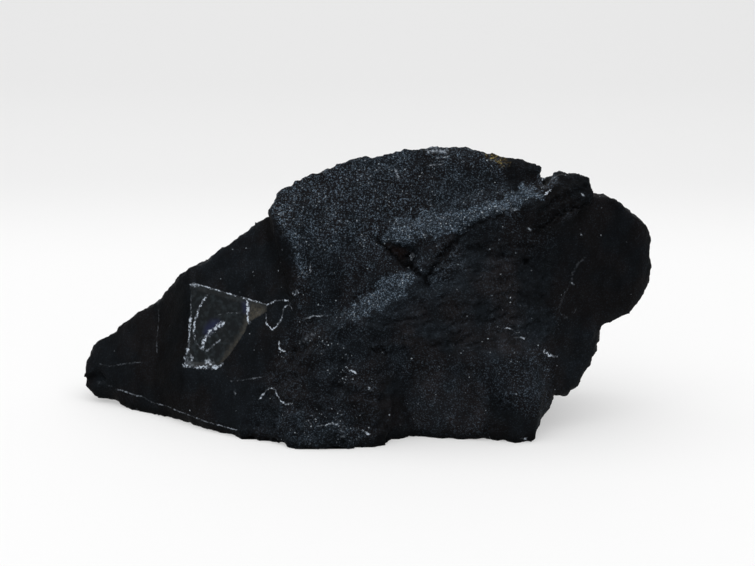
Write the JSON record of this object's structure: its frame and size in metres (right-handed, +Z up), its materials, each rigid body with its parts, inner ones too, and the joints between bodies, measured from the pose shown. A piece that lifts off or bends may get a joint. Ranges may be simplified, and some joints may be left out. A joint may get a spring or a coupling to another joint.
{
  "type": "raw black silica stone",
  "caption": "Rough broken lump of black silica with a tapering end, stepped ledges, fracture faces and a small clear glassy patch; lies on its broken underside.",
  "frame": {"origin": "centre of the bounding box at the floor the stone lies on", "axes": "+X along the length towards the blunt end, +Y from the front face to the back, +Z up"},
  "size_m": [0.1284, 0.0452, 0.0619],
  "materials": {
    "stone": "rough granular fracture faces with dull smooth ones between, and one small glassy patch"
  },
  "bodies": {
    "root": {"stone": "stone"}
  },
  "joints": []
}
